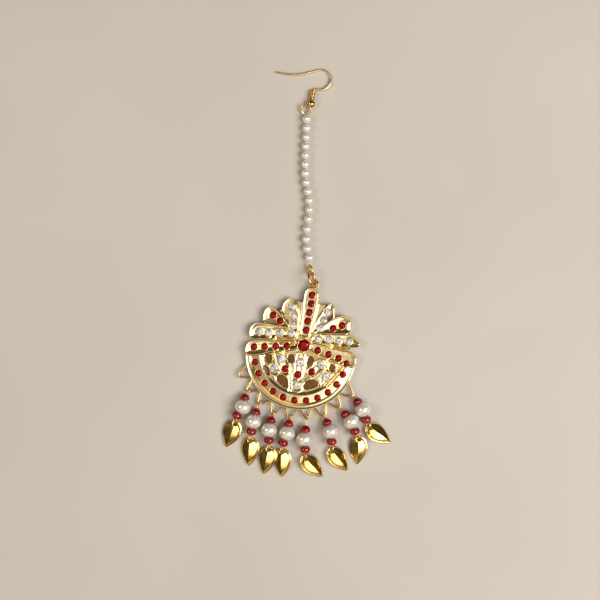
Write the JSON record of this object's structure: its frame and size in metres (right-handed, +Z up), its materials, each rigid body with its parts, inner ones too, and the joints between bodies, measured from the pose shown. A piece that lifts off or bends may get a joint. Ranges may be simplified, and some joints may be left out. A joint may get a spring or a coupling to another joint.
{
  "type": "maang tikka",
  "caption": "Forehead jewel: crescent and fan pendant with red and clear stones, leaf drops, a pearl string and a hair hook.",
  "frame": {"origin": "centre of the bounding box in X and Y, on the surface it lies on", "axes": "+Y along the string to the hook, +Z up off the surface it lies on, away from the flat back, +X to the right seen from above"},
  "size_m": [0.0588, 0.1432, 0.0059],
  "materials": {
    "gold_pale": "satin",
    "gold_bright": "polished",
    "gold_leaf": "polished",
    "gold_wire": "polished",
    "pearl": "pearl coat",
    "thread": "fine thread",
    "red_stone": "faceted, foil back",
    "white_stone": "faceted, foil back",
    "red_bead": "faceted"
  },
  "bodies": {
    "root": {"hook_wire": "gold_wire", "hook_coil": "gold_bright", "hook_ball": "gold_bright", "strand_pearls": "pearl", "strand_thread": "thread", "ring_upper": "gold_wire", "ring_lower": "gold_wire", "pendant_plate": "gold_pale", "centre_stone": "red_stone", "stones_crescent": "red_stone", "stones_arm_left": "red_stone", "stones_arm_right": "red_stone", "stones_petal_1": "white_stone", "stones_petal_2": "red_stone", "stones_petal_3": "white_stone", "stones_petal_4": "red_stone", "stones_petal_5": "white_stone", "stones_petal_6": "red_stone", "stones_petal_7": "white_stone", "stones_lattice_red": "red_stone", "stones_lattice_white": "white_stone", "drop_1_wire": "gold_wire", "drop_1_pearl": "pearl", "drop_1_beads": "red_bead", "drop_1_leaf": "gold_leaf", "drop_2_wire": "gold_wire", "drop_2_pearl": "pearl", "drop_2_beads": "red_bead", "drop_2_leaf": "gold_leaf", "drop_3_wire": "gold_wire", "drop_3_pearl": "pearl", "drop_3_beads": "red_bead", "drop_3_leaf": "gold_leaf", "drop_4_wire": "gold_wire", "drop_4_pearl": "pearl", "drop_4_beads": "red_bead", "drop_4_leaf": "gold_leaf", "drop_5_wire": "gold_wire", "drop_5_pearl": "pearl", "drop_5_beads": "red_bead", "drop_5_leaf": "gold_leaf", "drop_6_wire": "gold_wire", "drop_6_pearl": "pearl", "drop_6_beads": "red_bead", "drop_6_leaf": "gold_leaf", "drop_7_wire": "gold_wire", "drop_7_pearl": "pearl", "drop_7_beads": "red_bead", "drop_7_leaf": "gold_leaf", "drop_8_wire": "gold_wire", "drop_8_pearl": "pearl", "drop_8_beads": "red_bead", "drop_8_leaf": "gold_leaf"}
  },
  "joints": []
}
